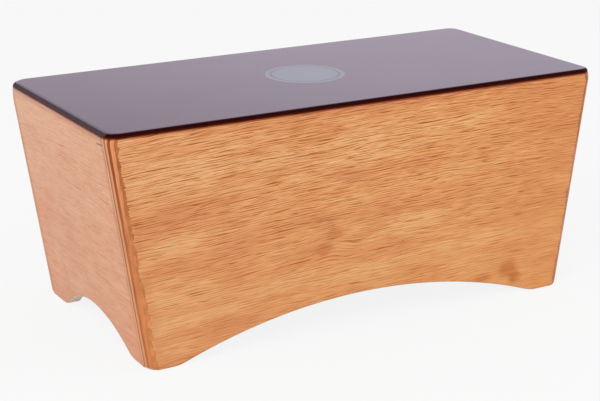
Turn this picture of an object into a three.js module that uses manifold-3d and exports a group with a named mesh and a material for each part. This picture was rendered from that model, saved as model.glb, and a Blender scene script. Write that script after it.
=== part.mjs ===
// Bongo cajon: a hand drum built as a tapered plywood box with two sound chambers.
// A thin hard playing surface closes the top, and the bottom is open.
// The long walls stand upright, the two end walls lean in towards the floor,
// and all four are arched underneath, so that the box stands on its corners.
// Millimetres, +Z up. X runs along the length and the front wall looks towards -Y.
// The origin lies on the floor, under the middle of the box.

import * as THREE from "three";
import { mergeVertices } from "three/addons/utils/BufferGeometryUtils.js";
import Module from "manifold-3d";

const wasm = await Module();
wasm.setup();

// Outside of the box
const TOP_LENGTH = 400; // outer length at the playing surface
const BOTTOM_LENGTH = 350; // outer length across the feet
const DEPTH = 186; // from the front face to the rear face
const BODY_HEIGHT = 167; // from the floor to the underside of the playing surface
const CORNER_RADIUS = 8.5; // round-over down the four corners
const TOP_CORNER_RADIUS = 13.5; // the same round-over at the playing surface, where it is wider
const TOP_CORNER_RUN = 14; // height over which it widens

// Walls
const LONG_PANEL_THICKNESS = 10;
const END_PANEL_THICKNESS = 10;

// Arches under the walls. A foot runs from the outer corner to where the arc would reach the floor,
// and the fillet is the reverse curve that leads the arc into the foot.
const LONG_FOOT = 25;
const LONG_ARCH_RISE = 27;
const LONG_ARCH_FILLET = 30;
const END_FOOT = 33.5;
const END_ARCH_RISE = 22;
const END_ARCH_FILLET = 20;

// Playing surface
const PLATE_THICKNESS = 3;
const PLATE_EDGE_RADIUS = 2.6; // rounding of the upper edge, under the player's palms
const PLATE_EDGE_LAND = 0.4; // upright strip that the rounding leaves at least

// Wall between the two chambers, let into grooves in the long panels
const DIVIDER_THICKNESS = 6;
const DIVIDER_OFFSET = 34; // from the middle of the box to the middle of the divider
const DIVIDER_ABOVE_ARCH = 15; // keeps its lower edge out of sight behind the long walls
const GROOVE_DEPTH = 3;

// Lining strips under the playing surface, and the blocks that stiffen the corners
const LINING_WIDTH = 12;
const LINING_HEIGHT = 14;
const CORNER_BLOCK_LEG = 18;
const CORNER_BLOCK_LOWER_EDGE = 20; // above the floor

const GLUE_LINE = 0.2; // left open at each glued joint between walls, strips and blocks

// Fineness of the round stretches
const CORNER_STEPS = 8;
const EDGE_STEPS = 5;
const TOP_CORNER_STEPS = 5;
const ARCH_STEPS = 20;

const CUT_MARGIN = 20; // by which a blank or a cutting tool stands past the work

// Derived places
const TAPER = Math.atan2((TOP_LENGTH - BOTTOM_LENGTH) / 2, BODY_HEIGHT); // lean of the ends
const HALF_DEPTH = DEPTH / 2;
const INNER_HALF_DEPTH = HALF_DEPTH - LONG_PANEL_THICKNESS;
const LINING_LOWER_EDGE = BODY_HEIGHT - LINING_HEIGHT;
const GLUED_TOP = BODY_HEIGHT - GLUE_LINE; // upper edge of what is glued under the playing surface
const DIVIDER_LEFT = DIVIDER_OFFSET - DIVIDER_THICKNESS / 2;
const DIVIDER_RIGHT = DIVIDER_OFFSET + DIVIDER_THICKNESS / 2;
const DIVIDER_LOWER_EDGE = LONG_ARCH_RISE + DIVIDER_ABOVE_ARCH;

// Half of the outer length at a height
const halfLength = (z) => BOTTOM_LENGTH / 2 + z * Math.tan(TAPER);

// Round-over of the corners at a height
const cornerRadius = (z) => {
  const share = Math.max(0, z - BODY_HEIGHT + TOP_CORNER_RUN) / TOP_CORNER_RUN;
  return CORNER_RADIUS + (TOP_CORNER_RADIUS - CORNER_RADIUS) * share ** 2;
};

// Half of the length to a plane that lies a given way inside an end's leaning face and parallel to it
const endFace = (z, inset) => halfLength(z) - inset / Math.cos(TAPER);

const MATERIALS = {
  veneer: new THREE.MeshStandardMaterial({ color: 0xdd9c66, roughness: 0.4, metalness: 0 }),
  plate: new THREE.MeshStandardMaterial({ color: 0x2a1514, roughness: 0.25, metalness: 0 }),
  divider: new THREE.MeshStandardMaterial({ color: 0xd9b98c, roughness: 0.7, metalness: 0 }),
  softwood: new THREE.MeshStandardMaterial({ color: 0xe2c79a, roughness: 0.8, metalness: 0 }),
};

// Closed geometry to a solid that can be joined and cut
function solidOf(geometry) {
  const bare = geometry.clone();
  bare.deleteAttribute("normal");
  bare.deleteAttribute("uv");
  const merged = mergeVertices(bare);
  return new wasm.Manifold(
    new wasm.Mesh({
      numProp: 3,
      vertProperties: merged.getAttribute("position").array,
      triVerts: new Uint32Array(merged.index.array),
    }),
  );
}

function geometryOf(solid) {
  const { vertProperties, triVerts } = solid.getMesh();
  const geometry = new THREE.BufferGeometry();
  geometry.setAttribute("position", new THREE.BufferAttribute(vertProperties, 3));
  geometry.setIndex(new THREE.BufferAttribute(triVerts, 1));
  geometry.computeVertexNormals();
  return geometry;
}

const polygon = (...points) => new THREE.Shape(points.map(([x, y]) => new THREE.Vector2(x, y)));

const rectangle = (left, right, low, high) =>
  polygon([left, low], [right, low], [right, high], [left, high]);

function extrude(outline, depth) {
  return new THREE.ExtrudeGeometry(outline, { depth, bevelEnabled: false, curveSegments: ARCH_STEPS });
}

// Outline seen from the front, with (x, z) points, between two upright planes
function extrudeAlongY(outline, y1, y2) {
  const raised = extrude(outline, Math.abs(y2 - y1)).rotateX(Math.PI / 2);
  return raised.translate(0, Math.max(y1, y2), 0);
}

// Outline seen from an end, with (y, z) points, between two upright planes
function extrudeAlongX(outline, x1, x2) {
  const raised = extrude(outline, Math.abs(x2 - x1)).rotateX(Math.PI / 2).rotateZ(Math.PI / 2);
  return raised.translate(Math.min(x1, x2), 0, 0);
}

// Rounded rectangle about the vertical axis, at one height
function roundedRing(halfX, halfY, radius, z) {
  const ring = [];
  for (let corner = 0; corner < 4; corner++) {
    const sideX = corner === 0 || corner === 3 ? 1 : -1;
    const sideY = corner < 2 ? 1 : -1;
    for (let step = 0; step <= CORNER_STEPS; step++) {
      const angle = ((corner + step / CORNER_STEPS) * Math.PI) / 2;
      const x = sideX * (halfX - radius) + radius * Math.cos(angle);
      const y = sideY * (halfY - radius) + radius * Math.sin(angle);
      ring.push(new THREE.Vector3(x, y, z));
    }
  }
  return ring;
}

// Skin through rings of equal point count, with a cap at each end.
// The rings run anticlockwise from above, and the lowest comes first.
function loft(rings) {
  const count = rings[0].length;
  const last = (rings.length - 1) * count;
  const index = [];
  for (let base = 0; base < last; base += count) {
    for (let i = 0; i < count; i++) {
      const next = (i + 1) % count;
      index.push(base + i, base + next, base + count + next);
      index.push(base + i, base + count + next, base + count + i);
    }
  }
  const outline = rings[0].map((point) => new THREE.Vector2(point.x, point.y));
  for (const [a, b, c] of THREE.ShapeUtils.triangulateShape(outline, [])) {
    index.push(a, c, b, last + a, last + b, last + c);
  }
  const geometry = new THREE.BufferGeometry().setFromPoints(rings.flat());
  geometry.setIndex(index);
  geometry.computeVertexNormals();
  return geometry;
}

// What is cut away under a wall: one large arc between two fillets.
// Each fillet touches the floor line from above and the large arc from outside.
function archOutline(span, rise, fillet) {
  const radius = (span ** 2 / 4 + rise ** 2) / (2 * rise);
  const centreHeight = rise - radius;
  const footStart = Math.sqrt((radius + fillet) ** 2 - (fillet - centreHeight) ** 2);
  const lean = Math.atan2(fillet - centreHeight, footStart);
  const outline = new THREE.Shape();
  outline.moveTo(-footStart, -CUT_MARGIN);
  outline.lineTo(-footStart, 0);
  outline.absarc(-footStart, fillet, fillet, -Math.PI / 2, -lean, false);
  outline.absarc(0, centreHeight, radius, Math.PI - lean, lean, true);
  outline.absarc(footStart, fillet, fillet, Math.PI + lean, (3 * Math.PI) / 2, false);
  outline.lineTo(footStart, -CUT_MARGIN);
  return outline;
}

// The whole body as one block, with its leaning ends and rounded corners
function bodyBlank() {
  const rings = [roundedRing(halfLength(0), HALF_DEPTH, CORNER_RADIUS, 0)];
  for (let step = 0; step <= TOP_CORNER_STEPS; step++) {
    const z = BODY_HEIGHT - TOP_CORNER_RUN * (1 - step / TOP_CORNER_STEPS);
    rings.push(roundedRing(halfLength(z), HALF_DEPTH, cornerRadius(z), z));
  }
  return solidOf(loft(rings));
}

const bodyBlock = bodyBlank();

// Front (side -1) or rear (side 1) wall: it runs the full length and covers the edges of the end walls
function longPanel(side) {
  const reach = Math.max(TOP_LENGTH, BOTTOM_LENGTH);
  const inside = side * (INNER_HALF_DEPTH - CUT_MARGIN);
  const innerFace = side * INNER_HALF_DEPTH;
  const outside = side * (HALF_DEPTH + CUT_MARGIN);
  const blank = rectangle(-reach, reach, -CUT_MARGIN, BODY_HEIGHT + CUT_MARGIN);
  const slab = solidOf(extrudeAlongY(blank, innerFace, outside));

  const archSpan = BOTTOM_LENGTH - 2 * LONG_FOOT;
  const arch = archOutline(archSpan, LONG_ARCH_RISE, LONG_ARCH_FILLET);
  const archCut = solidOf(extrudeAlongY(arch, inside, outside));

  const groove = rectangle(
    DIVIDER_LEFT - GLUE_LINE,
    DIVIDER_RIGHT + GLUE_LINE,
    DIVIDER_LOWER_EDGE - GLUE_LINE,
    BODY_HEIGHT + CUT_MARGIN,
  );
  const grooveCut = solidOf(extrudeAlongY(groove, inside, innerFace + side * GROOVE_DEPTH));
  return geometryOf(bodyBlock.intersect(slab).subtract(archCut).subtract(grooveCut));
}

// Left (side -1) or right (side 1) wall: it leans in and stands between the long walls
function endPanel(side) {
  const low = -CUT_MARGIN;
  const high = BODY_HEIGHT + CUT_MARGIN;
  const blank = polygon(
    [side * endFace(low, END_PANEL_THICKNESS), low],
    [side * endFace(low, -CUT_MARGIN), low],
    [side * endFace(high, -CUT_MARGIN), high],
    [side * endFace(high, END_PANEL_THICKNESS), high],
  );
  const halfWidth = INNER_HALF_DEPTH - GLUE_LINE;
  const slab = solidOf(extrudeAlongY(blank, -halfWidth, halfWidth));

  const arch = archOutline(DEPTH - 2 * END_FOOT, END_ARCH_RISE, END_ARCH_FILLET);
  const inside = side * (endFace(0, END_PANEL_THICKNESS) - CUT_MARGIN);
  const outside = side * (halfLength(END_ARCH_RISE) + CUT_MARGIN);
  const archCut = solidOf(extrudeAlongX(arch, inside, outside));
  return geometryOf(bodyBlock.intersect(slab).subtract(archCut));
}

// Thin hard top, flush with the walls, with a rounded upper edge
function playingSurface() {
  const roomForEdge = Math.min(PLATE_THICKNESS, TOP_CORNER_RADIUS) - PLATE_EDGE_LAND;
  const edgeRadius = Math.min(PLATE_EDGE_RADIUS, roomForEdge);
  const halfX = halfLength(BODY_HEIGHT);
  const rings = [roundedRing(halfX, HALF_DEPTH, TOP_CORNER_RADIUS, BODY_HEIGHT)];
  for (let step = 0; step <= EDGE_STEPS; step++) {
    const angle = ((step / EDGE_STEPS) * Math.PI) / 2;
    const inset = edgeRadius * (1 - Math.cos(angle));
    const z = BODY_HEIGHT + PLATE_THICKNESS - edgeRadius * (1 - Math.sin(angle));
    rings.push(roundedRing(halfX - inset, HALF_DEPTH - inset, TOP_CORNER_RADIUS - inset, z));
  }
  return loft(rings);
}

function chamberDivider() {
  const reach = INNER_HALF_DEPTH + GROOVE_DEPTH - GLUE_LINE;
  const outline = rectangle(DIVIDER_LEFT, DIVIDER_RIGHT, DIVIDER_LOWER_EDGE, GLUED_TOP);
  return extrudeAlongY(outline, -reach, reach);
}

// Strip along the front (side -1) or rear (side 1) wall of the left (end -1) or right (end 1) chamber,
// cut at its outer end to the lean of the end wall
function longLining(side, end) {
  const clear = END_PANEL_THICKNESS + GLUE_LINE;
  const atDivider = end < 0 ? DIVIDER_LEFT - GLUE_LINE : DIVIDER_RIGHT + GLUE_LINE;
  const outline = polygon(
    [end * endFace(LINING_LOWER_EDGE, clear), LINING_LOWER_EDGE],
    [atDivider, LINING_LOWER_EDGE],
    [atDivider, GLUED_TOP],
    [end * endFace(GLUED_TOP, clear), GLUED_TOP],
  );
  const atWall = INNER_HALF_DEPTH - GLUE_LINE;
  return extrudeAlongY(outline, side * atWall, side * (atWall - LINING_WIDTH));
}

// Strip across an end wall, between the two long strips
function endLining(end) {
  const near = END_PANEL_THICKNESS + GLUE_LINE;
  const far = near + LINING_WIDTH;
  const outline = polygon(
    [end * endFace(LINING_LOWER_EDGE, near), LINING_LOWER_EDGE],
    [end * endFace(GLUED_TOP, near), GLUED_TOP],
    [end * endFace(GLUED_TOP, far), GLUED_TOP],
    [end * endFace(LINING_LOWER_EDGE, far), LINING_LOWER_EDGE],
  );
  const reach = INNER_HALF_DEPTH - GLUE_LINE - LINING_WIDTH - GLUE_LINE;
  return extrudeAlongY(outline, -reach, reach);
}

// Three-cornered block down the inside of a corner, following the lean of the end wall
function cornerBlock(side, end) {
  const ring = (z) => {
    const x = end * endFace(z, END_PANEL_THICKNESS + GLUE_LINE);
    const y = side * (INNER_HALF_DEPTH - GLUE_LINE);
    const corner = new THREE.Vector3(x, y, z);
    const alongLongWall = new THREE.Vector3(x - end * CORNER_BLOCK_LEG, y, z);
    const alongEndWall = new THREE.Vector3(x, y - side * CORNER_BLOCK_LEG, z);
    return side === end ? [corner, alongLongWall, alongEndWall] : [corner, alongEndWall, alongLongWall];
  };
  return loft([ring(CORNER_BLOCK_LOWER_EDGE), ring(LINING_LOWER_EDGE - GLUE_LINE)]);
}

function piece(name, geometry, material) {
  const mesh = new THREE.Mesh(geometry, material);
  mesh.name = name;
  return mesh;
}

const SIDES = { front: -1, rear: 1 };
const ENDS = { left: -1, right: 1 };

const walls = new THREE.Group();
const linings = new THREE.Group();
const cornerBlocks = new THREE.Group();
for (const [sideName, side] of Object.entries(SIDES)) {
  walls.add(piece(`${sideName}_panel`, longPanel(side), MATERIALS.veneer));
}
for (const [endName, end] of Object.entries(ENDS)) {
  walls.add(piece(`${endName}_end_panel`, endPanel(end), MATERIALS.veneer));
  linings.add(piece(`${endName}_end_lining`, endLining(end), MATERIALS.softwood));
  for (const [sideName, side] of Object.entries(SIDES)) {
    const corner = `${sideName}_${endName}`;
    linings.add(piece(`${corner}_lining`, longLining(side, end), MATERIALS.softwood));
    cornerBlocks.add(piece(`${corner}_corner_block`, cornerBlock(side, end), MATERIALS.softwood));
  }
}

const cajon = new THREE.Group();
cajon.add(walls, linings, cornerBlocks);
cajon.add(piece("chamber_divider", chamberDivider(), MATERIALS.divider));
cajon.add(piece("playing_surface", playingSurface(), MATERIALS.plate));

export default cajon;
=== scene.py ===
"""Looks of the bongo cajon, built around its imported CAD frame.

The walls, the playing surface and the wood inside are remade with eased edges and with procedural
plywood, veneer and lacquer. Shapes are worked out in millimetres and stored in metres.
X runs along the length, the front wall looks towards -Y, and the floor lies at z = 0.
"""

import math

import bmesh
import bpy
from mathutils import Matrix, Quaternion, Vector


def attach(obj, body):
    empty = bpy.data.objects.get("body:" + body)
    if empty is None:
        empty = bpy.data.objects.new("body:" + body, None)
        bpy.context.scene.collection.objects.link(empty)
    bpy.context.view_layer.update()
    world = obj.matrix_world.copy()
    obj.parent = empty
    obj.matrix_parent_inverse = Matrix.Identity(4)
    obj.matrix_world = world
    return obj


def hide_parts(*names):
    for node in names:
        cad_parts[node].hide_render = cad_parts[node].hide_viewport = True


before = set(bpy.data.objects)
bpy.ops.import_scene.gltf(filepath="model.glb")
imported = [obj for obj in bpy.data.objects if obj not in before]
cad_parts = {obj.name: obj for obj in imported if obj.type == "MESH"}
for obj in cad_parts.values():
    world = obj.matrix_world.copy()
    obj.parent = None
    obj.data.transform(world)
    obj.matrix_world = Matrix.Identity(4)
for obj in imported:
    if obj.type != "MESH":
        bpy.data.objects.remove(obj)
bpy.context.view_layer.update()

MM = 0.001

# The CAD model's own sizes, in millimetres
TOP_LENGTH = 400
BOTTOM_LENGTH = 350
DEPTH = 186
BODY_HEIGHT = 167
CORNER_RADIUS = 8.5
WALL = 10  # thickness of the four walls
LONG_FOOT = 25
LONG_ARCH_RISE = 27
LONG_ARCH_FILLET = 30
END_FOOT = 33.5
END_ARCH_RISE = 22
END_ARCH_FILLET = 20
PLATE_THICKNESS = 3
PLATE_EDGE_RADIUS = 2.6
DIVIDER_OFFSET = 34
DIVIDER_THICKNESS = 6
DIVIDER_LOWER_EDGE = 42
GROOVE_DEPTH = 3
GLUE_LINE = 0.2

# Hand work: how far the arches were sawn off their middles, and the finish of the edges
LONG_ARCH_SHIFT = -2
END_ARCH_SHIFT = -3
RIM_RADIUS = 1.3  # sanded rims of the arches and feet
RIM_FADE = 4  # length over which the inner rim of a long wall runs out before an end wall
FOOT_CORNER_RADIUS = 3.2
PLATE_EDGE_INSET = 3.4  # the rounding runs farther over the top than down the edge,
PLATE_END_INSET = 4.9  # and farthest at the ends
PLATE_LOWER_EASE = 0.35
STICK_EASE = 0.7  # edges of the strips, blocks and divider inside
HAIRLINE = 0.04  # between the walls at the corners, where the glue fills the rest of the joint

# Corners by end and side: radius of the round-over at the top, and the height over which it widens
TOP_CORNERS = {
    (-1, -1): (11, 5),
    (1, -1): (12.3, 6),
    (-1, 1): (14.5, 14),
    (1, 1): (9.5, 5),
}

# Fineness of the meshes
ROUND_OVER_STEPS = 16
RIM_STEPS = 5
ARCH_STEPS = 72
FILLET_STEPS = 12
FOOT_CORNER_STEPS = 6
TOP_CORNER_STEPS = 28
END_COLUMNS = (0, 1, 2, 3.5)  # distances from an end wall's edge at which its rounded face is cut
PLATE_CORNER_STEPS = 20
PLATE_LOWER_STEPS = 3
PLATE_EDGE_STEPS = 9
STICK_EASE_STEPS = 2
SHARP_ANGLE = math.radians(40)
LARGE_FACE_WEIGHT = 100  # how far large faces rule the shading of small ones beside them
FLAT_ANGLE = math.radians(1)  # up to it, neighbouring faces of a CAD solid count as one
WELD_DISTANCE = 0.001

# Order of the plate's materials after the top's own, and the upward share of the normal above
# which its edge counts as top
PLATE_EDGE_INDEX = 1
PLATE_BACK_INDEX = 2
PLATE_EDGE_FACING = 0.955

# Camera, fitted to the photograph's 600 x 401 frame
CAMERA_PLACE = (-0.59109, -1.03578, 0.44141)
CAMERA_TARGET = (-0.00434, 0.0, 0.07141)
CAMERA_ROLL = math.radians(-0.13)
SENSOR_WIDTH = 36
FOCAL_LENGTH = 97.77
CLIP_RANGE = (0.01, 100)

LEAN = (TOP_LENGTH - BOTTOM_LENGTH) / 2 / BODY_HEIGHT  # of the ends, outwards for each mm up
LEAN_ANGLE = math.atan(LEAN)
HALF_DEPTH = DEPTH / 2
INNER_HALF_DEPTH = HALF_DEPTH - WALL
END_HALF_WIDTH = INNER_HALF_DEPTH - HAIRLINE
END_RUN = WALL / math.cos(LEAN_ANGLE)  # thickness of an end wall, measured level

SIDES = {"front": -1, "rear": 1}
ENDS = {"left": -1, "right": 1}


def half_length(z):
    """Half of the length at a height."""
    return BOTTOM_LENGTH / 2 + z * LEAN


def corner_radius(z, end, side):
    """Round-over of a corner, which widens towards the playing surface."""
    radius, run = TOP_CORNERS[end, side]
    share = max(0, z - BODY_HEIGHT + run) / run
    return CORNER_RADIUS + (radius - CORNER_RADIUS) * share**2


def top_heights():
    """Heights of the slices through the widening part of the corners."""
    longest = max(run for radius, run in TOP_CORNERS.values())
    shares = [step / TOP_CORNER_STEPS for step in range(TOP_CORNER_STEPS + 1)]
    return [BODY_HEIGHT - longest * (1 - share) for share in shares]


def arch_edge(span, rise, fillet, shift):
    """Lower edge from the left foot to the right one, as (point, direction into the wood) pairs."""
    radius = (span**2 / 4 + rise**2) / (2 * rise)
    centre = rise - radius
    foot = math.sqrt((radius + fillet) ** 2 - (fillet - centre) ** 2)
    lean = math.atan2(fillet - centre, foot)
    arcs = (
        (shift - foot, fillet, fillet, -math.pi / 2, -lean, FILLET_STEPS, -1),
        (shift, centre, radius, math.pi - lean, lean, ARCH_STEPS, 1),
        (shift + foot, fillet, fillet, math.pi + lean, 1.5 * math.pi, FILLET_STEPS, -1),
    )
    edge = []
    for across, up, size, start, stop, steps, sense in arcs:
        for step in range(steps + 1):
            if step == 0 and edge:
                continue
            angle = start + (stop - start) * step / steps
            ray = Vector((math.cos(angle), math.sin(angle)))
            edge.append((Vector((across, up)) + size * ray, sense * ray))
    return edge


def rounding(distance, radius):
    """How far a rounded edge stands back, at a distance below the face that it starts from."""
    if distance >= radius:
        return 0.0
    return radius - math.sqrt(radius**2 - (radius - distance) ** 2)


def foot_corner(inset, ease):
    """Rounded lower left corner of a long wall, from its side to its foot."""
    radius = FOOT_CORNER_RADIUS
    middle_x = -(half_length(radius) - inset) + radius / math.cos(LEAN_ANGLE)
    start, stop = math.pi + LEAN_ANGLE, 1.5 * math.pi
    points = []
    for step in range(FOOT_CORNER_STEPS + 1):
        share = step / FOOT_CORNER_STEPS
        angle = start + (stop - start) * share
        size = radius - ease * share
        points.append((middle_x + size * math.cos(angle), radius + size * math.sin(angle)))
    return points


def scene_object(name, data):
    """New object of the scene, from its mesh, light or camera."""
    thing = bpy.data.objects.new(name, data)
    bpy.context.scene.collection.objects.link(thing)
    return thing


def mesh_object(name, bm):
    """Finished piece from a bmesh in millimetres: even normals, soft rounds and crisp corners."""
    bmesh.ops.recalc_face_normals(bm, faces=bm.faces)
    bmesh.ops.scale(bm, vec=(MM, MM, MM), verts=bm.verts)
    mesh = bpy.data.meshes.new(name)
    bm.to_mesh(mesh)
    bm.free()
    mesh.polygons.foreach_set("use_smooth", [True] * len(mesh.polygons))
    mesh.set_sharp_from_angle(angle=SHARP_ANGLE)
    piece = scene_object(name, mesh)
    weighted = piece.modifiers.new("even_normals", "WEIGHTED_NORMAL")
    weighted.keep_sharp = True
    weighted.weight = LARGE_FACE_WEIGHT
    return piece


def join_rings(bm, rings, open_segment=None):
    """Quads between neighbouring rings of equal count; one segment may be left open."""
    for near, far in zip(rings, rings[1:]):
        count = len(near)
        for i in range(count):
            if i != open_segment:
                j = (i + 1) % count
                bm.faces.new((near[i], near[j], far[j], far[i]))


def ring_of(bm, points):
    return [bm.verts.new(point) for point in points]


def long_wall_outline(depth, side):
    """Outline at a depth below the outer face, as (x, z) from the left foot round to the left side.

    Also gives the index of the first point of the divider's groove in the upper edge.
    """
    inset = rounding(depth, CORNER_RADIUS)
    outer_ease = rounding(depth, RIM_RADIUS)
    inner_ease = rounding(WALL - depth, RIM_RADIUS)
    covered = half_length(0) - END_RUN  # from here outwards, an end wall hides the inner rim
    span = BOTTOM_LENGTH - 2 * LONG_FOOT
    lower = []
    for point, inward in arch_edge(span, LONG_ARCH_RISE, LONG_ARCH_FILLET, LONG_ARCH_SHIFT):
        clear = min(1, max(0, (covered - abs(point.x)) / RIM_FADE))
        lower.append(tuple(point + (outer_ease + inner_ease * clear) * inward))
    left_corner = foot_corner(inset, outer_ease)
    right_corner = [(-x, z) for x, z in reversed(left_corner)]
    left_side, right_side = [], []
    for z in top_heights():
        left_side.insert(0, (rounding(depth, corner_radius(z, -1, side)) - half_length(z), z))
        right_side.append((half_length(z) - rounding(depth, corner_radius(z, 1, side)), z))
    groove = DIVIDER_THICKNESS / 2 + GLUE_LINE
    groove_top = [(DIVIDER_OFFSET + groove, BODY_HEIGHT), (DIVIDER_OFFSET - groove, BODY_HEIGHT)]
    before_groove = left_corner + lower + right_corner + right_side
    return before_groove + groove_top + left_side, len(before_groove)


def curved_steps(radius, steps):
    """Distances below a face at which a rounded edge is sliced."""
    return [radius * (1 - math.cos(math.pi / 2 * step / steps)) for step in range(steps + 1)]


def long_wall_depths():
    """Depths of the slices: close together where the round-over and the rims curve."""
    rims = [WALL - rim for rim in curved_steps(RIM_RADIUS, RIM_STEPS)]
    return sorted(curved_steps(CORNER_RADIUS, ROUND_OVER_STEPS) + [WALL - GROOVE_DEPTH] + rims)


def long_wall(name, side):
    """Front or rear wall, with the groove for the divider in its inner face."""
    bm = bmesh.new()
    rings, grooves = [], []
    for depth in long_wall_depths():
        y = side * (HALF_DEPTH - depth)
        outline, gap = long_wall_outline(depth, side)
        ring = ring_of(bm, [(x, y, z) for x, z in outline])
        rings.append(ring)
        if depth >= WALL - GROOVE_DEPTH:
            foot = DIVIDER_LOWER_EDGE - GLUE_LINE
            right, left = outline[gap][0], outline[gap + 1][0]
            below = ring_of(bm, [(right, y, foot), (left, y, foot)])
            grooves.append([ring[gap], *below, ring[gap + 1]])
    solid = len(rings) - len(grooves)
    join_rings(bm, rings[: solid + 1])
    join_rings(bm, rings[solid:], open_segment=gap)
    for near, far in zip(grooves, grooves[1:]):
        for i in range(3):
            bm.faces.new((near[i], near[i + 1], far[i + 1], far[i]))
    bm.faces.new(grooves[0])
    bm.faces.new(rings[0])
    inner = rings[-1]
    bm.faces.new(inner[: gap + 1] + grooves[-1][1:3] + inner[gap + 1 :])
    return mesh_object(name, bm)


def end_wall(name, side):
    """Left or right wall, leaning out towards the top, between the long walls."""
    rims = curved_steps(RIM_RADIUS, RIM_STEPS)
    arch = arch_edge(DEPTH - 2 * END_FOOT, END_ARCH_RISE, END_ARCH_FILLET, END_ARCH_SHIFT)
    up = Vector((0, 1))
    lower = [(Vector((-END_HALF_WIDTH, 0)), up), *arch, (Vector((END_HALF_WIDTH, 0)), up)]
    heights = top_heights()
    columns = [END_HALF_WIDTH - column for column in END_COLUMNS]
    columns += [-column for column in reversed(columns)]
    right = [(columns[0], z) for z in heights]
    left = [(columns[-1], z) for z in heights]
    across = [(y, BODY_HEIGHT) for y in columns[1:-1]]

    def face_point(y, z, run):
        radius = corner_radius(z, side, 1 if y > 0 else -1)
        outer = half_length(z) - rounding(HALF_DEPTH - abs(y), radius)
        inner = half_length(z) - END_RUN
        return (side * (outer + (inner - outer) * run / END_RUN), y, z)

    bm = bmesh.new()
    rings = []
    for run in rims + [END_RUN - rim for rim in reversed(rims)]:
        ease = rounding(run, RIM_RADIUS) + rounding(END_RUN - run, RIM_RADIUS)
        outline = [tuple(point + ease * inward) for point, inward in lower]
        outline += right + across + left[::-1]
        rings.append(ring_of(bm, [face_point(y, z, run) for y, z in outline]))
    join_rings(bm, rings)
    bm.faces.new(rings[-1])
    outer, first, count = rings[0], len(lower), len(heights)
    rows = []
    for i, z in enumerate(heights[:-1]):
        between = ring_of(bm, [face_point(y, z, 0) for y in columns[1:-1]])
        rows.append([outer[first + i], *between, outer[-1 - i]])
    rows.append(outer[first + count - 1 : first + count + len(across) + 1])
    bm.faces.new(outer[:first] + rows[0])
    for near, far in zip(rows, rows[1:]):
        for i in range(len(columns) - 1):
            bm.faces.new((near[i], near[i + 1], far[i + 1], far[i]))
    return mesh_object(name, bm)


def plate_outline(inset, end_inset):
    """Rounded rectangle from above, with one inset along its sides and another at its ends."""
    corners = ((1, 1), (-1, 1), (-1, -1), (1, -1))
    points = []
    for quarter, (to_x, to_y) in enumerate(corners):
        radius = TOP_CORNERS[to_x, to_y][0]
        radius_x, radius_y = radius - end_inset, radius - inset
        middle_x = to_x * (half_length(BODY_HEIGHT) - radius)
        middle_y = to_y * (HALF_DEPTH - radius)
        for step in range(PLATE_CORNER_STEPS + 1):
            angle = math.pi / 2 * (quarter + step / PLATE_CORNER_STEPS)
            x = middle_x + radius_x * math.cos(angle)
            points.append((x, middle_y + radius_y * math.sin(angle)))
    return points


def playing_top(name):
    """Thin plate, rounded above and eased below, with materials for top, edge and underside."""
    top = BODY_HEIGHT + PLATE_THICKNESS
    levels = []
    for step in range(PLATE_LOWER_STEPS + 1):
        turn = math.pi / 2 * step / PLATE_LOWER_STEPS
        inset = PLATE_LOWER_EASE * (1 - math.sin(turn))
        levels.append((inset, inset, BODY_HEIGHT + PLATE_LOWER_EASE * (1 - math.cos(turn))))
    for step in range(PLATE_EDGE_STEPS + 1):
        turn = math.pi / 2 * step / PLATE_EDGE_STEPS
        share = 1 - math.cos(turn)
        height = top - PLATE_EDGE_RADIUS * (1 - math.sin(turn))
        levels.append((PLATE_EDGE_INSET * share, PLATE_END_INSET * share, height))
    bm = bmesh.new()
    rings = [ring_of(bm, [(x, y, z) for x, y in plate_outline(*insets)]) for *insets, z in levels]
    join_rings(bm, rings)
    bm.faces.new(rings[0])
    bm.faces.new(rings[-1])
    plate = mesh_object(name, bm)
    for face in plate.data.polygons:
        if face.normal.z < -PLATE_EDGE_FACING:
            face.material_index = PLATE_BACK_INDEX
        elif face.normal.z < PLATE_EDGE_FACING:
            face.material_index = PLATE_EDGE_INDEX
    return plate


def eased_copy(name, node):
    """A plain CAD solid with its edges broken."""
    bm = bmesh.new()
    bm.from_mesh(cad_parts[node].data)
    bmesh.ops.scale(bm, vec=(1 / MM, 1 / MM, 1 / MM), verts=bm.verts)
    bmesh.ops.remove_doubles(bm, verts=bm.verts, dist=WELD_DISTANCE)
    bmesh.ops.dissolve_limit(bm, angle_limit=FLAT_ANGLE, verts=bm.verts, edges=bm.edges)
    bmesh.ops.bevel(
        bm,
        geom=bm.edges[:],
        offset=STICK_EASE,
        segments=STICK_EASE_STEPS,
        profile=0.5,
        affect="EDGES",
    )
    return mesh_object(name, bm)


# Places of the mix node's share and two colours, and of its mixed colour
MIX_COLOUR_SOCKETS = (0, 6, 7)
MIX_COLOUR_RESULT = 2


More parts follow.
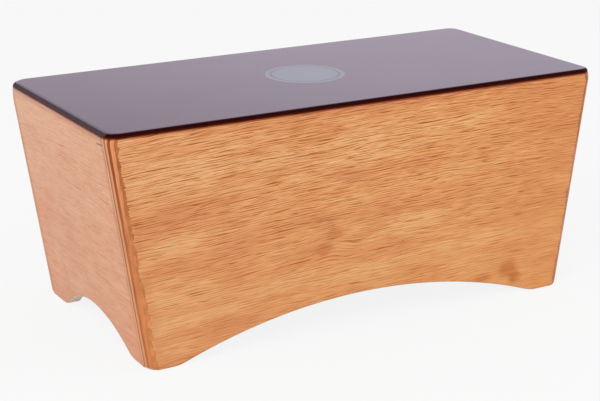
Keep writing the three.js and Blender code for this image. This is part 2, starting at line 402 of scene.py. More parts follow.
class Graph:
    """Short hand for the node tree of one material. Values are sockets or plain numbers."""

    def __init__(self, name):
        self.material = bpy.data.materials.new(name)
        self.material.use_nodes = True
        self.nodes = self.material.node_tree.nodes
        self.links = self.material.node_tree.links
        self.shader = self.nodes["Principled BSDF"]

    def put(self, socket, value):
        if isinstance(value, bpy.types.NodeSocket):
            self.links.new(value, socket)
        elif isinstance(value, (tuple, list)) and len(value) == 3 and socket.type == "RGBA":
            socket.default_value = (*value, 1)
        else:
            socket.default_value = value

    def math(self, operation, a, b=0.0):
        node = self.nodes.new("ShaderNodeMath")
        node.operation = operation
        for socket, value in zip(node.inputs, (a, b)):
            self.put(socket, value)
        return node.outputs[0]

    def add(self, a, b):
        return self.math("ADD", a, b)

    def sub(self, a, b):
        return self.math("SUBTRACT", a, b)

    def mul(self, a, b):
        return self.math("MULTIPLY", a, b)

    def facing(self, axis):
        """Share of the surface's normal that points along an axis, from -1 to 1."""
        coordinates = self.nodes.new("ShaderNodeTexCoord")
        return self.split(coordinates.outputs["Normal"])[axis]

    def place(self):
        """x, y and z in millimetres."""
        coordinates = self.nodes.new("ShaderNodeTexCoord")
        scaled = self.nodes.new("ShaderNodeVectorMath")
        scaled.operation = "SCALE"
        self.links.new(coordinates.outputs["Object"], scaled.inputs[0])
        scaled.inputs["Scale"].default_value = 1 / MM
        return self.split(scaled.outputs[0])

    def split(self, vector):
        node = self.nodes.new("ShaderNodeSeparateXYZ")
        self.links.new(vector, node.inputs[0])
        return tuple(node.outputs)

    def vector(self, x, y, z):
        node = self.nodes.new("ShaderNodeCombineXYZ")
        for socket, value in zip(node.inputs, (x, y, z)):
            self.put(socket, value)
        return node.outputs[0]

    def noise(self, place, size, detail=2.0, roughness=0.5):
        """Soft noise from 0 to 1, with a size in mm for each direction, or 0 for a plain seed."""
        node = self.nodes.new("ShaderNodeTexNoise")
        scaled = [
            self.mul(value, 1 / length) if length else value for value, length in zip(place, size)
        ]
        self.links.new(self.vector(*scaled), node.inputs["Vector"])
        node.inputs["Scale"].default_value = 1
        node.inputs["Detail"].default_value = detail
        node.inputs["Roughness"].default_value = roughness
        return node.outputs[0]

    def waver(self, place, size, amount, detail=2.0):
        """Soft noise around 0, at most half the amount either way."""
        return self.mul(self.sub(self.noise(place, size, detail), 0.5), amount)

    def remap(self, value, low, high, to_low=0.0, to_high=1.0, smooth=True):
        node = self.nodes.new("ShaderNodeMapRange")
        node.interpolation_type = "SMOOTHSTEP" if smooth else "LINEAR"
        for socket, given in zip(node.inputs, (value, low, high, to_low, to_high)):
            self.put(socket, given)
        return node.outputs[0]

    def blend(self, share, a, b, mode="MIX"):
        """Colour between two colours, or their product."""
        node = self.nodes.new("ShaderNodeMix")
        node.data_type = "RGBA"
        node.blend_type = mode
        for socket, value in zip(MIX_COLOUR_SOCKETS, (share, a, b)):
            self.put(node.inputs[socket], value)
        return node.outputs[MIX_COLOUR_RESULT]

    def ramp(self, value, stops):
        node = self.nodes.new("ShaderNodeValToRGB")
        elements = node.color_ramp.elements
        while len(elements) < len(stops):
            elements.new(0.5)
        for element, (position, colour) in zip(elements, stops):
            element.position = position
            element.color = (*colour, 1)
        self.put(node.inputs[0], value)
        return node.outputs[0]

    def shade(self, colour, factor):
        """Colour made lighter or darker by a factor near 1."""
        node = self.nodes.new("ShaderNodeVectorMath")
        node.operation = "SCALE"
        self.put(node.inputs[0], colour)
        self.put(node.inputs["Scale"], factor)
        return node.outputs[0]

    def spot(self, u, v, middle, size):
        """Soft round patch, 1 in the middle and 0 beyond its size."""
        across = self.mul(self.sub(u, middle[0]), 1 / size[0])
        up = self.mul(self.sub(v, middle[1]), 1 / size[1])
        reach = self.math("SQRT", self.add(self.mul(across, across), self.mul(up, up)))
        return self.remap(reach, 1, 0.2)

    def hairlines(self, u, v, seed, spacing, width):
        """Thin broken lines along u: dark ones, and light ones beside them that are a painted
        highlight, partly pale pore walls; each from 0 to 1.
        """
        wander = self.noise((u, v, seed), (60, 5, 0))
        phase = self.add(self.mul(v, 1 / spacing), self.mul(wander, 3))
        broken = self.remap(self.noise((u, v, seed + 4), (21, 0.9, 0)), 0.42, 0.62)
        lines = []
        for offset in (0, HIGHLIGHT_LINE_OFFSET):
            share = self.math("FRACT", self.add(phase, offset))
            away = self.mul(self.math("ABSOLUTE", self.sub(share, 0.5)), spacing)
            lines.append(self.mul(self.remap(away, width, 0.2 * width), broken))
        return lines

    def tint(self, colour, share, factors):
        """Colour multiplied by three factors, as far as a share from 0 to 1 says."""
        return self.blend(share, colour, self.blend(1.0, colour, factors, "MULTIPLY"))

    def finish(self, colour, roughness, height, relief, bump):
        """The material, with a fine relief in metres that follows the height."""
        self.put(self.shader.inputs["Base Color"], colour)
        self.put(self.shader.inputs["Roughness"], roughness)
        node = self.nodes.new("ShaderNodeBump")
        node.inputs["Strength"].default_value = bump
        node.inputs["Distance"].default_value = relief
        self.links.new(height, node.inputs["Height"])
        self.links.new(node.outputs[0], self.shader.inputs["Normal"])
        return self.material


# Ranges of noise that make a full change of tone, from the softest to the strongest
NOISE_WIDE = (0.25, 0.75)
NOISE_EVEN = (0.3, 0.7)
NOISE_CLOSE = (0.35, 0.65)

# Veneer, in linear colours from redder to yellower, and its lines from light to dark
FRONT_VENEER = ((0.630, 0.246, 0.089), (0.688, 0.300, 0.108), (0.728, 0.366, 0.148))
END_VENEER = ((0.648, 0.255, 0.104), (0.668, 0.295, 0.135), (0.700, 0.340, 0.179))
LINE_TINTS = ((0.30, (1.08, 1.25, 1.60)), (0.5, (1.0, 1.0, 1.0)), (0.70, (0.76, 0.46, 0.18)))
LINE_STRENGTH = 0.5
PORE_LINES = ((21, 2.2, 0.31), (33, 1.5, 0.28))  # seed, and spacing and half width in mm
PORE_TINT = (0.55, 0.26, 0.04)
PORE_HIGHLIGHT_TINT = (1.14, 1.24, 1.45)  # of the light lines beside the pores: a painted highlight along each pore, partly its pale walls,
HIGHLIGHT_LINE_OFFSET = 0.3  # this share of the spacing away

# Front and rear: the tints run from left to right
TONE_ALONG = (
    (0.0, (0.970, 0.982, 1.03)),
    (0.5, (1.012, 1.030, 1.005)),
    (1.0, (1.040, 1.015, 0.885)),
)
TONE_REACH = 190  # mm to either side of the middle
TONE_SHIFT = (0.10, -0.05)  # yellower on the left
LONG_LINES = (14, 0.52)  # length and width of the soft lines, in mm
LONG_FIGURE_STEP = (20, 194)  # mm along and across the grain, to tell the two walls' figures apart
GRAIN_TILT = 0.028  # rise of the grain to the right,
GRAIN_CROWN = 0.0001  # and to the middle for each mm squared
SWIRL = ((-34, 68), (26, 16))  # place and half sizes in mm of the bend round the small knots
SWIRL_LIFT = 3
KNOT_TINT = (0.74, 0.53, 0.36)
SANDED_TINT = (0.955, 0.885, 0.85)  # beside the left corners, where the veneer was sanded thin,
SANDED_REACH = (17, 8)  # mm from the side where that starts and where it is full
LONG_BACK_TINT = (0.87, 0.95, 1.19)  # inside of the box
LONG_GLOSS = 0.3

# Ends
END_LINES = (5, 0.8)
END_FIGURE_STEP = (31, 300)
END_CONTRAST = 0.52
END_FOOT_TINT = (1.01, 0.965, 0.885)  # low down and to the sides
END_SEAM_TINT = (0.84, 0.76, 0.65)  # along the joints with the long walls
END_SEAM_REACH = (3.6, 0.8)  # mm from the edge where that starts and where it is full
END_TOP_TINT = (0.80, 0.71, 0.74)  # under the playing surface
END_TOP_REACH = (6, 1.8)
END_BACK_TINT = (0.9, 0.95, 1.0)
END_GLOSS = 0.5
SCRATCH_PLACE = (-74, 160.7)  # y and z of the lowest point of its curve
SCRATCH_BEND = 0.0093
SCRATCH_SHIFT = -4.5  # from there to the middle of the scratch
SCRATCH_HALF = 6.5
SCRATCH_WIDTH = (0.95, 0.4)
SCRATCH_TINT = (0.36, 0.32, 0.30)

# Broad patches of the front: x, z, half length and half height in mm, yellower (+) or redder (-)
FRONT_PATCHES = (
    (-147, 138, 48, 14, 0.27),
    (-115, 163, 55, 6, -0.20),
    (40, 165, 165, 5, -0.11),
    (-172, 161, 26, 8, -0.14),
    (168, 158, 40, 10, -0.10),
    (-76, 139, 50, 10, 0.12),
    (-20, 143, 60, 9, 0.08),
    (80, 142, 44, 8, 0.07),
    (56, 105, 46, 11, 0.06),
    (44, 71, 48, 8, 0.14),
    (-66, 70, 30, 9, 0.07),
    (-78, 44, 34, 8, 0.07),
    (-140, 106, 58, 16, -0.16),
    (-112, 92, 44, 14, -0.12),
    (-130, 76, 60, 12, -0.14),
    (-178, 100, 40, 24, -0.14),
    (-172, 72, 40, 14, -0.12),
    (36, 84, 50, 6, -0.12),
    (40, 56, 44, 6, -0.12),
    (150, 120, 44, 40, -0.05),
    (-118, 24, 32, 9, -0.13),
    (-78, 37, 32, 6, -0.10),
    (-10, 57, 78, 11, -0.12),
    (-65, 158, 52, 9, -0.12),
    (150, 158, 32, 9, -0.13),
    (-10, 117, 32, 11, -0.08),
    (-28, 97, 42, 9, 0.08),
)

# Knots of the front, low on the right and in the swirl: place and half sizes in mm, darkness
FRONT_KNOTS = (
    ((125, 21), (13, 11), 0.85),
    ((131, 15), (10, 7), 1.0),
    ((101, 18), (12, 5), 0.6),
    ((-28, 76), (12, 5), 0.62),
    ((-38, 65), (13, 6), 0.58),
)

# Plies of a wall: depth in mm at which each starts, and its colour near the top and near the foot
PLIES = (
    (0.05, (0.450, 0.146, 0.040), (0.505, 0.186, 0.062)),
    (0.66, (0.385, 0.112, 0.024), (0.525, 0.176, 0.054)),
    (1.40, (0.660, 0.255, 0.100), (0.530, 0.182, 0.060)),
    (2.95, (0.265, 0.050, 0.004), (0.385, 0.118, 0.030)),
    (4.55, (0.620, 0.270, 0.128), (0.585, 0.250, 0.108)),
    (6.30, (0.345, 0.110, 0.028), (0.325, 0.092, 0.018)),
    (7.65, (0.690, 0.315, 0.142), (0.640, 0.268, 0.104)),
    (9.45, (0.420, 0.170, 0.070), (0.400, 0.150, 0.055)),
)
PLY_BLUR = 0.14  # mm on either side of a glue line
PLY_DRIFT = 0.005  # mm of depth for each mm up, because the plies lie a little askew
PLY_LEVEL = 75  # height at which they lie at the depths above
PALE_CUT_AND_FLOOR_LIGHT = ((0.66, 0.40, 0.22), (0.80, 0.55, 0.35))  # faces turned down, such as under the arches: bare long grain, and painted light from the bright floor below
VENEER_WAY = 1.7  # mm round the corner to where the sanding cut through the veneer
VENEER_LEAST = 0.4
VENEER_BLUR = 0.25
BACK_VENEER_START = 9.75
BACK_VENEER_BLUR = 0.05
TOP_EDGE_DARKENING = (0.42, 0.22, 0.13)  # darker and browner along the upper edge of the walls, just under the playing surface
TOP_EDGE_DARKENING_REACH = (1.4, 0.5)  # mm below the edge where that starts and where it is full
WALL_ROUGHNESS = (0.34, 0.7)  # outside and inside

# Playing surface, and the bare wood inside
PLATE_LACQUER = ((0.052, 0.0185, 0.036), (0.058, 0.0215, 0.041))
DISC_COLOUR = (0.117, 0.164, 0.194)
DISC_COVER = 0.9
DISC_RADIUS = 30
DISC_RING = (24.8, 26.4)  # radii of the ring that is left out of the disc
DISC_BLUR = 0.2
LONG_EDGE = ((0.060, 0.0075, 0.0010), (0.0190, 0.0014, 0.0014))  # lower and upper part of the edge
LONG_EDGE_TURN = (0.5, 1.5)  # mm above the walls where the one goes over into the other
# Where the edge faces an end, lower and upper part: the stain with a painted sheen, lighter and
# greyer
END_EDGE_AND_SHEEN = ((0.086, 0.0330, 0.0270), (0.0500, 0.0370, 0.0470))
END_EDGE_TURN = (1.2, 2.0)
EDGE_GLOSS = 0.02
UNDERSIDE = ((0.30, 0.155, 0.075), (0.40, 0.225, 0.115))
SOFTWOOD = ((0.72, 0.52, 0.29), (0.53, 0.31, 0.13))  # early and late wood
SOFTWOOD_RING = 2.8  # mm from one growth ring to the next
DIVIDER_FACE = ((0.68, 0.49, 0.28), (0.58, 0.38, 0.19))
DIVIDER_CORE = (0.42, 0.25, 0.11)


def grain_waves(g, u, v, crown):
    """Place across the grain, once its crown, bends and ripples are straightened."""
    bend = g.waver((u, v, 2), (110, 50, 0), 3, detail=1)
    ripple = g.waver((u, v, 9), (40, 20, 0), 2.6)
    return g.add(g.add(v, g.mul(g.mul(u, u), crown)), g.add(bend, ripple))


def veneer(g, u, v, palette, line, shift, contrast):
    """Open-pored veneer, u along the grain and v across it: colour, pores and fibre."""
    clouds = g.noise((u, v, 5), (46, 10, 0), detail=3, roughness=0.55)
    broad = g.noise((u, v, 13), (190, 40, 0), detail=1)
    tone = g.add(g.add(g.mul(clouds, 0.55), g.mul(broad, 0.45)), shift)
    low, middle, high = palette
    colour = g.ramp(tone, ((0.36, low), (0.5, middle), (0.64, high)))
    lines = g.noise((u, v, 7), (*line, 0), roughness=0.6)
    spread = g.add(g.mul(g.sub(lines, 0.5), g.mul(contrast, LINE_STRENGTH)), 0.5)
    colour = g.blend(1.0, colour, g.ramp(spread, LINE_TINTS), "MULTIPLY")
    fibre = g.noise((u, v, 8), (11, 0.5, 0), detail=1)
    colour = g.shade(colour, g.remap(fibre, *NOISE_EVEN, 0.97, 1.03))
    (dark_a, highlight_a), (dark_b, highlight_b) = [g.hairlines(u, v, *kind) for kind in PORE_LINES]
    pores = g.mul(g.math("MAXIMUM", dark_a, dark_b), contrast)
    light = g.mul(g.math("MAXIMUM", highlight_a, highlight_b), contrast)
    # The light lines beside the pores are a painted highlight, partly their pale walls.
    colour = g.tint(g.tint(colour, light, PORE_HIGHLIGHT_TINT), pores, PORE_TINT)
    return colour, pores, fibre


def ply_colour(g, depth, place):
    """Bare edges of the plies, by depth below the outer face; faces turned down are pale, partly
    bare long grain and partly painted light from the floor.
    """
    x, y, z = place
    upper, lower = [], []
    for i, (start, near_top, near_foot) in enumerate(PLIES):
        stop = PLIES[i + 1][0] if i + 1 < len(PLIES) else WALL
        for position in ((start + PLY_BLUR) / WALL, (stop - PLY_BLUR) / WALL):
            upper.append((position, near_top))
            lower.append((position, near_foot))
    bend = g.waver(place, (9, 9, 14), 0.7)
    drift = g.mul(g.sub(z, PLY_LEVEL), PLY_DRIFT)
    share = g.mul(g.add(g.add(depth, bend), drift), 1 / WALL)
    colour = g.blend(g.remap(z, 80, 150), g.ramp(share, lower), g.ramp(share, upper))
    lines = g.noise((x, depth, z), (7, 0.33, 16))
    patches = g.noise(place, (24, 24, 30), detail=1)
    factor = g.mul(g.remap(lines, *NOISE_WIDE, 0.82, 1.16), g.remap(patches, *NOISE_EVEN, 0.9, 1.1))
    flecks = g.remap(g.noise(place, (6, 6, 5)), *NOISE_CLOSE, -0.12, 0.12)
    factor = g.mul(factor, g.add(1.0, g.mul(g.remap(depth, 1.6, 1.0), flecks)))
    colour = g.shade(colour, factor)
    low, high = PALE_CUT_AND_FLOOR_LIGHT
    pale = g.blend(g.remap(lines, *NOISE_CLOSE), low, high)
    # Faces turned down go pale: partly bare long grain, partly painted light from the bright floor
    # below.
    return g.blend(g.remap(g.facing(2), -0.2, -0.7), colour, pale)


def wall_material(g, depth, place, figure, back_tint, gloss):
    """Lacquered plywood: veneer outside, bare plies on the edges, plainer veneer inside."""
    colour, pores, fibre = figure
    way = g.math("SQRT", g.mul(g.math("MAXIMUM", depth, 0.0), 2 * CORNER_RADIUS))
    wander = g.waver(place, (24, 24, 12), 4.0)
    fray = g.waver(place, (6, 6, 3.2), 4.0, detail=3)
    nicks = g.waver(place, (5, 5, 1.1), 2.4)
    edge = g.math("MAXIMUM", VENEER_LEAST, g.add(VENEER_WAY, g.add(g.add(wander, fray), nicks)))
    on_veneer = g.remap(g.sub(way, edge), VENEER_BLUR, -VENEER_BLUR)
    past_start = g.sub(depth, BACK_VENEER_START)
    inside = g.remap(past_start, -BACK_VENEER_BLUR, BACK_VENEER_BLUR)
    surface = g.blend(on_veneer, ply_colour(g, depth, place), colour)
    surface = g.blend(inside, surface, g.blend(1.0, colour, back_tint, "MULTIPLY"))
    below_top = g.sub(BODY_HEIGHT, g.add(place[2], g.waver(place, (30, 30, 30), 0.8)))
    # Darker and browner along the walls' upper edge, just under the playing surface.
    surface = g.tint(surface, g.remap(below_top, *TOP_EDGE_DARKENING_REACH), TOP_EDGE_DARKENING)
    height = g.sub(g.mul(fibre, 0.35), pores)
    roughness = g.remap(inside, 0, 1, *WALL_ROUGHNESS, smooth=False)
    g.shader.inputs["Specular IOR Level"].default_value = gloss
    return g.finish(surface, g.add(roughness, g.mul(pores, 0.2)), height, relief=0.00012, bump=0.45)


def front_patches(g, x, z):
    """Sum of the broad patches, with frayed edges."""
    x = g.add(x, g.waver((x, z, 3), (30, 9, 0), 44))
    z = g.add(z, g.waver((x, z, 17), (38, 12, 0), 12))
    total = 0.0
    for at_x, at_z, half_long, half_high, amount in FRONT_PATCHES:
        total = g.add(total, g.mul(g.spot(x, z, (at_x, at_z), (half_long, half_high)), amount))
    return total


def front_knots(g, x, z):
    """Darkness of the frayed knots."""
    x = g.add(x, g.waver((x, z, 4), (9, 4, 0), 11, detail=3))
    z = g.add(z, g.waver((x, z, 6), (9, 5, 0), 9, detail=3))
    total = 0.0
    for middle, size, amount in FRONT_KNOTS:
        total = g.math("MAXIMUM", total, g.mul(g.spot(x, z, middle, size), amount))
    return total


def line_contrast(g, x, z):
    """Strength of the lines on the long walls, which fade to the right and towards the feet."""
    left = g.remap(x, -150, -50, 0.93, 1.07)
    right = g.remap(x, 40, 190, 1.02, 0.68)
    return g.mul(g.mul(left, right), g.remap(z, 20, 140, 0.6, 1.2))


def end_reach(g, z):
    """half_length as nodes."""
    return g.add(BOTTOM_LENGTH / 2, g.mul(z, LEAN))


def long_wall_material(name):
    """Front and rear: the grain runs along X."""
    g = Graph(name)
    x, y, z = g.place()
    depth = g.sub(HALF_DEPTH, g.math("ABSOLUTE", y))
    side = g.math("SIGN", y)
    in_front = g.math("LESS_THAN", y, 0)
    along_step, across_step = LONG_FIGURE_STEP
    u = g.add(x, g.mul(side, along_step))
    v = g.sub(g.add(z, g.mul(side, across_step)), g.mul(x, GRAIN_TILT))
    swirl = g.mul(g.spot(x, z, *SWIRL), in_front)
    v = g.sub(grain_waves(g, u, v, GRAIN_CROWN), g.mul(swirl, SWIRL_LIFT))
    slope = g.remap(x, -TONE_REACH, TONE_REACH, *TONE_SHIFT, smooth=False)
    shift = g.add(g.mul(front_patches(g, x, z), in_front), slope)
    contrast = line_contrast(g, x, z)
    colour, pores, fibre = veneer(g, u, v, FRONT_VENEER, LONG_LINES, shift, contrast)
    tints = g.ramp(g.remap(x, -TONE_REACH, TONE_REACH, smooth=False), TONE_ALONG)
    colour = g.blend(1.0, colour, tints, "MULTIPLY")
    colour = g.tint(colour, g.mul(front_knots(g, x, z), in_front), KNOT_TINT)
    from_side = g.add(end_reach(g, z), x)
    colour = g.tint(colour, g.remap(from_side, *SANDED_REACH), SANDED_TINT)
    figure = (colour, pores, fibre)
    return wall_material(g, depth, (x, y, z), figure, LONG_BACK_TINT, LONG_GLOSS)


def scratch(g, x, y, z):
    """Short curved scratch at the top of the left end, beside the front corner: 0 to 1."""
    along = g.sub(y, SCRATCH_PLACE[0])
    rise = g.add(g.mul(g.mul(along, along), SCRATCH_BEND), SCRATCH_PLACE[1])
    line = g.remap(g.math("ABSOLUTE", g.sub(z, rise)), *SCRATCH_WIDTH)
    from_middle = g.math("ABSOLUTE", g.sub(along, SCRATCH_SHIFT))
    length = g.remap(from_middle, SCRATCH_HALF, 0.6 * SCRATCH_HALF)
    return g.mul(g.mul(line, length), g.math("LESS_THAN", x, 0))


def end_wall_material(name):
    """Left and right: the grain runs along Y, and the veneer is closer."""
    g = Graph(name)
    x, y, z = g.place()
    depth = g.mul(g.sub(end_reach(g, z), g.math("ABSOLUTE", x)), math.cos(LEAN_ANGLE))
    side = g.math("SIGN", x)
    along_step, across_step = END_FIGURE_STEP
    u = g.add(y, g.mul(side, along_step))
    v = grain_waves(g, u, g.add(z, g.mul(side, across_step)), 0.0)
    cloud = g.waver((u, v, 5), (28, 13, 0), 0.4)
    shift = g.add(g.remap(z, 20, 150, -0.09, 0.09), cloud)
    colour, pores, fibre = veneer(g, u, v, END_VENEER, END_LINES, shift, END_CONTRAST)
    aside = g.math("ABSOLUTE", y)
    low_down = g.mul(g.remap(aside, 40, 80), g.remap(z, 110, 30))
    colour = g.tint(colour, low_down, END_FOOT_TINT)
    seam = g.remap(g.sub(END_HALF_WIDTH, aside), *END_SEAM_REACH)
    colour = g.tint(colour, seam, END_SEAM_TINT)
    colour = g.tint(colour, g.remap(g.sub(BODY_HEIGHT, z), *END_TOP_REACH), END_TOP_TINT)
    colour = g.tint(colour, scratch(g, x, y, z), SCRATCH_TINT)
    figure = (colour, pores, fibre)
    return wall_material(g, depth, (x, y, z), figure, END_BACK_TINT, END_GLOSS)


def plate_material(name):
    """Dark plum lacquer over a close grain, with a plain printed disc in the middle."""
    g = Graph(name)
    x, y, z = g.place()
    grain = g.noise((x, y, z), (70, 2.2, 3), detail=3)
    mottle = g.noise((x, y, z), (45, 30, 10), detail=3)
    colour = g.blend(g.remap(mottle, *NOISE_CLOSE), *PLATE_LACQUER)
    streaks = g.remap(grain, *NOISE_EVEN, 0.82, 1.18)
    patches = g.remap(mottle, *NOISE_EVEN, 0.9, 1.1)
    colour = g.shade(colour, g.mul(streaks, patches))
    reach = g.math("SQRT", g.add(g.mul(x, x), g.mul(y, y)))
    radii = (DISC_RADIUS, *DISC_RING)
    disc, inner, outer = [g.remap(reach, r + DISC_BLUR, r - DISC_BLUR) for r in radii]
    printed = g.mul(g.sub(disc, g.sub(outer, inner)), DISC_COVER)
    colour = g.blend(printed, colour, DISC_COLOUR)
    roughness = g.remap(mottle, *NOISE_EVEN, 0.09, 0.13, smooth=False)
    height = g.noise((x, y, z), (6, 6, 6))
    return g.finish(colour, roughness, height, relief=0.00002, bump=0.25)


def plate_edge_material(name):
    """Stained edge of the plate, nearly black and almost without gloss; where it faces an end, a
    painted sheen makes it lighter and greyer.
    """
    g = Graph(name)
    x, y, z = g.place()
    fibre = g.noise((x, y, z), (5, 5, 0.4))
    frayed = g.sub(g.add(z, g.mul(g.sub(fibre, 0.5), 0.8)), BODY_HEIGHT)
    along, across = (g.math("POWER", g.math("ABSOLUTE", g.facing(axis)), 2.0) for axis in (0, 1))
    # Facing an end, the edge takes the lighter, greyer colours: a painted sheen over the stain.
    end_sheen_share = g.remap(g.math("DIVIDE", along, g.add(g.add(along, across), 0.0001)), 0.72, 0.94)
    long_edge = g.blend(g.remap(frayed, *LONG_EDGE_TURN), *LONG_EDGE)
    end_edge_and_sheen = g.blend(g.remap(frayed, *END_EDGE_TURN), *END_EDGE_AND_SHEEN)
    colour = g.shade(g.blend(end_sheen_share, long_edge, end_edge_and_sheen), g.remap(fibre, *NOISE_EVEN, 0.75, 1.25))
    g.shader.inputs["Specular IOR Level"].default_value = EDGE_GLOSS
    roughness = g.remap(fibre, *NOISE_EVEN, 0.32, 0.42)
    return g.finish(colour, roughness, fibre, relief=0.00005, bump=0.3)


def plate_back_material(name):
    """Bare underside of the plate."""
    g = Graph(name)
    x, y, z = g.place()
    fibre = g.noise((x, y, z), (14, 0.6, 3))
    cloud = g.noise((x, y, z), (80, 26, 10))
    colour = g.ramp(cloud, tuple(zip(NOISE_CLOSE, UNDERSIDE)))
    colour = g.shade(colour, g.remap(fibre, *NOISE_WIDE, 0.88, 1.12))
    roughness = g.remap(fibre, *NOISE_EVEN, 0.62, 0.78)
    return g.finish(colour, roughness, fibre, relief=0.00015, bump=0.4)


def softwood_material(name, axis):
    """Sawn softwood strip with its grain along one axis."""
    g = Graph(name)
    place = g.place()
    along = place[axis]
    across = [place[i] for i in range(3) if i != axis]
    bend = g.noise((along, *across), (120, 30, 30), detail=1)
    ring = g.add(g.add(across[0], g.mul(across[1], 0.45)), g.mul(bend, 9))
    band = g.math("FRACT", g.mul(ring, 1 / SOFTWOOD_RING))
    late = g.mul(g.remap(band, 0.35, 0.9), g.remap(band, 1.0, 0.92))
    fibre = g.noise((along, *across), (18, 0.5, 0.5))
    colour = g.blend(late, *SOFTWOOD)
    colour = g.shade(colour, g.remap(fibre, *NOISE_WIDE, 0.88, 1.1))
    roughness = g.remap(fibre, *NOISE_EVEN, 0.66, 0.82)
    return g.finish(colour, roughness, fibre, relief=0.0002, bump=0.5)


def divider_material(name):
    """Bare thin plywood: a rotary-cut face and plies along its lower edge."""
    g = Graph(name)
    x, y, z = g.place()
    flame = g.noise((y, z, x), (95, 26, 40))
    lines = g.math("FRACT", g.mul(flame, 9))
    late = g.mul(g.remap(lines, 0.3, 0.95), g.remap(lines, 1.0, 0.95))
    fibre = g.noise((y, z, x), (9, 0.5, 2))
    face = g.blend(late, *DIVIDER_FACE)
    face = g.shade(face, g.remap(fibre, *NOISE_WIDE, 0.93, 1.07))
    depth = g.sub(DIVIDER_THICKNESS / 2, g.math("ABSOLUTE", g.sub(x, DIVIDER_OFFSET)))
    core = g.remap(depth, 1.15, 1.3)
    cross = g.mul(core, g.remap(depth, 2.6, 2.45, 0.55, 1.0))
    colour = g.blend(cross, face, DIVIDER_CORE)
    roughness = g.remap(fibre, *NOISE_EVEN, 0.62, 0.75)
    return g.finish(colour, roughness, fibre, relief=0.00015, bump=0.4)


def dress(piece, node, slot, *materials):
    """Makes a piece stand for its CAD node."""
    for material in materials:
        piece.data.materials.append(material)
    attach(piece, "root")
    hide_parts(node)


def build_pieces():
    long_veneer = long_wall_material("long_wall_plywood")
    end_veneer = end_wall_material("end_wall_plywood")
    softwood = [softwood_material(f"softwood_along_{'xyz'[axis]}", axis) for axis in range(3)]
    for side_name, side in SIDES.items():
        wall = long_wall(f"{side_name}_wall", side)
        dress(wall, f"{side_name}_panel", "veneered_plywood", long_veneer)
    for end_name, end in ENDS.items():
        wall = end_wall(f"{end_name}_end_wall", end)
        dress(wall, f"{end_name}_end_panel", "veneered_plywood", end_veneer)
        strip = eased_copy(f"{end_name}_end_strip", f"{end_name}_end_lining")
        dress(strip, f"{end_name}_end_lining", "softwood", softwood[1])
        for side_name in SIDES:
            corner = f"{side_name}_{end_name}"
            strip = eased_copy(f"{corner}_strip", f"{corner}_lining")
            dress(strip, f"{corner}_lining", "softwood", softwood[0])
            block = eased_copy(f"{corner}_block", f"{corner}_corner_block")
            dress(block, f"{corner}_corner_block", "softwood", softwood[2])
    board = eased_copy("divider_board", "chamber_divider")
    dress(board, "chamber_divider", "plain_plywood", divider_material("divider_plywood"))
    plate_looks = (
        plate_material("plum_lacquer"),
        plate_edge_material("stained_edge"),
        plate_back_material("bare_underside"),
    )
    dress(playing_top("playing_top"), "playing_surface", "dark_plate", *plate_looks)


FLOOR_REACH = 6.0
FLOOR_GLOW = 0.878  # what the camera sees of the floor, before its own light and shadow
FLOOR_SHADOW_SHARE = 0.07  # diffuse colour that carries the shadow towards the camera
FLOOR_BOUNCE = 0.8  # floor colour for the light that it throws back
WORLD_LIGHT = 0.62
BACKDROP = ((0.06, 0.80), (0.157, 1.03), (0.24, 0.97))  # bearing on the axis, and brightness there
BACKDROP_TINT = (1.007, 0.92, 1.08)
BACKDROP_AXIS = (0.483, 0.129, -0.866)  # low down on the right, where the white room is brightest
LIGHT_AIM = (0, 0, 0.09)
LIGHT_SIZE = 1.8
LIGHTS = (  # place in metres and power in watts
    ("key_light", (-2.0, -1.5, 1.9), 52),
    ("fill_light", (1.9, -1.4, 1.6), 13),
)


def seen_directly(nodes, links):
    """1 for camera, glossy and transmission rays, which show the white background."""
    path = nodes.new("ShaderNodeLightPath")
    seen = path.outputs["Is Camera Ray"]
    for kind in ("Is Glossy Ray", "Is Transmission Ray"):
        either = nodes.new("ShaderNodeMath")
        either.operation = "MAXIMUM"
        links.new(seen, either.inputs[0])
        links.new(path.outputs[kind], either.inputs[1])
        seen = either.outputs[0]
    return seen


def mix_shader(nodes, links, share, first, second):
    mix = nodes.new("ShaderNodeMixShader")
    for socket, source in zip(mix.inputs, (share, first, second)):
        links.new(source, socket)
    return mix.outputs[0]


def grey_diffuse(nodes, grey):
    node = nodes.new("ShaderNodeBsdfDiffuse")
    node.inputs["Color"].default_value = (grey, grey, grey, 1)
    return node.outputs[0]


def floor_material():
    """White where it is seen, pale for the light that it throws back, and clear from below."""
    material = bpy.data.materials.new("pale_floor")
    material.use_nodes = True
    nodes, links = material.node_tree.nodes, material.node_tree.links
    nodes.clear()
    glow = nodes.new("ShaderNodeEmission")
    glow.inputs["Color"].default_value = (1, 1, 1, 1)
    glow.inputs["Strength"].default_value = FLOOR_GLOW
    shown = nodes.new("ShaderNodeAddShader")
    links.new(glow.outputs[0], shown.inputs[0])
    links.new(grey_diffuse(nodes, FLOOR_SHADOW_SHARE), shown.inputs[1])
    bounce = grey_diffuse(nodes, FLOOR_BOUNCE)
    above = mix_shader(nodes, links, seen_directly(nodes, links), bounce, shown.outputs[0])
    from_below = nodes.new("ShaderNodeNewGeometry").outputs["Backfacing"]
    clear = nodes.new("ShaderNodeBsdfTransparent").outputs[0]
    output = nodes.new("ShaderNodeOutputMaterial")
    links.new(mix_shader(nodes, links, from_below, above, clear), output.inputs["Surface"])
    return material


def build_floor():
    bm = bmesh.new()
    corners = ((-1, -1), (1, -1), (1, 1), (-1, 1))
    bm.faces.new([bm.verts.new((x * FLOOR_REACH, y * FLOOR_REACH, 0)) for x, y in corners])
    mesh = bpy.data.meshes.new("floor")
    bm.to_mesh(mesh)
    bm.free()
    floor = scene_object("floor", mesh)
    mesh.materials.append(floor_material())


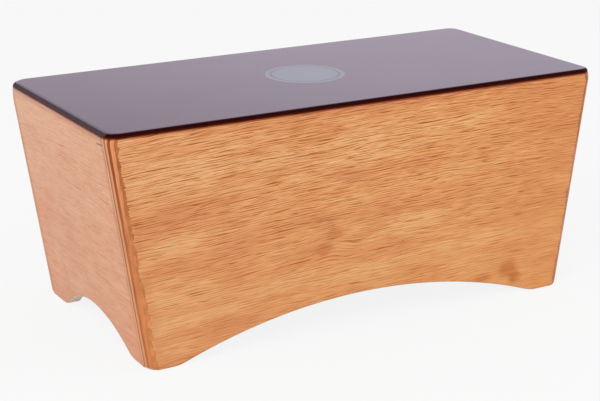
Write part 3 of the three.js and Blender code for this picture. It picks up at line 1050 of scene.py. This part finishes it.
def build_world():
    """Even white light, and a shaded white backdrop where the world itself is seen or mirrored."""
    world = bpy.data.worlds.new("white_room")
    bpy.context.scene.world = world
    world.use_nodes = True
    nodes, links = world.node_tree.nodes, world.node_tree.links
    nodes.clear()
    light = nodes.new("ShaderNodeBackground")
    light.inputs["Color"].default_value = (1, 1, 1, 1)
    light.inputs["Strength"].default_value = WORLD_LIGHT
    direction = nodes.new("ShaderNodeTexCoord")
    bearing = nodes.new("ShaderNodeVectorMath")
    bearing.operation = "DOT_PRODUCT"
    bearing.inputs[1].default_value = BACKDROP_AXIS
    links.new(direction.outputs["Generated"], bearing.inputs[0])
    tone = nodes.new("ShaderNodeValToRGB")
    tone.color_ramp.elements.new(0.5)
    for element, (position, brightness) in zip(tone.color_ramp.elements, BACKDROP):
        element.position = position
        element.color = (*(brightness * channel for channel in BACKDROP_TINT), 1)
    links.new(bearing.outputs["Value"], tone.inputs[0])
    shown = nodes.new("ShaderNodeBackground")
    links.new(tone.outputs[0], shown.inputs["Color"])
    shown.inputs["Strength"].default_value = 1
    seen = seen_directly(nodes, links)
    output = nodes.new("ShaderNodeOutputWorld")
    mixed = mix_shader(nodes, links, seen, light.outputs[0], shown.outputs[0])
    links.new(mixed, output.inputs["Surface"])


def aim(thing, place, target, roll=0.0):
    """Puts a light or camera at a place and turns it to a target."""
    thing.location = place
    thing.rotation_mode = "QUATERNION"
    towards = (Vector(target) - Vector(place)).to_track_quat("-Z", "Y")
    thing.rotation_quaternion = towards @ Quaternion((0, 0, 1), roll)


def build_lights():
    for name, place, power in LIGHTS:
        data = bpy.data.lights.new(name, "AREA")
        data.shape = "DISK"
        data.size = LIGHT_SIZE
        data.energy = power
        lamp = scene_object(name, data)
        lamp.visible_glossy = False
        aim(lamp, place, LIGHT_AIM)


def build_camera():
    data = bpy.data.cameras.new("camera")
    data.sensor_width = SENSOR_WIDTH
    data.lens = FOCAL_LENGTH
    data.clip_start, data.clip_end = CLIP_RANGE
    camera = scene_object("camera", data)
    aim(camera, CAMERA_PLACE, CAMERA_TARGET, CAMERA_ROLL)
    bpy.context.scene.camera = camera


build_camera()
build_pieces()
build_floor()
build_world()
build_lights()
bpy.context.scene.view_settings.view_transform = "Standard"
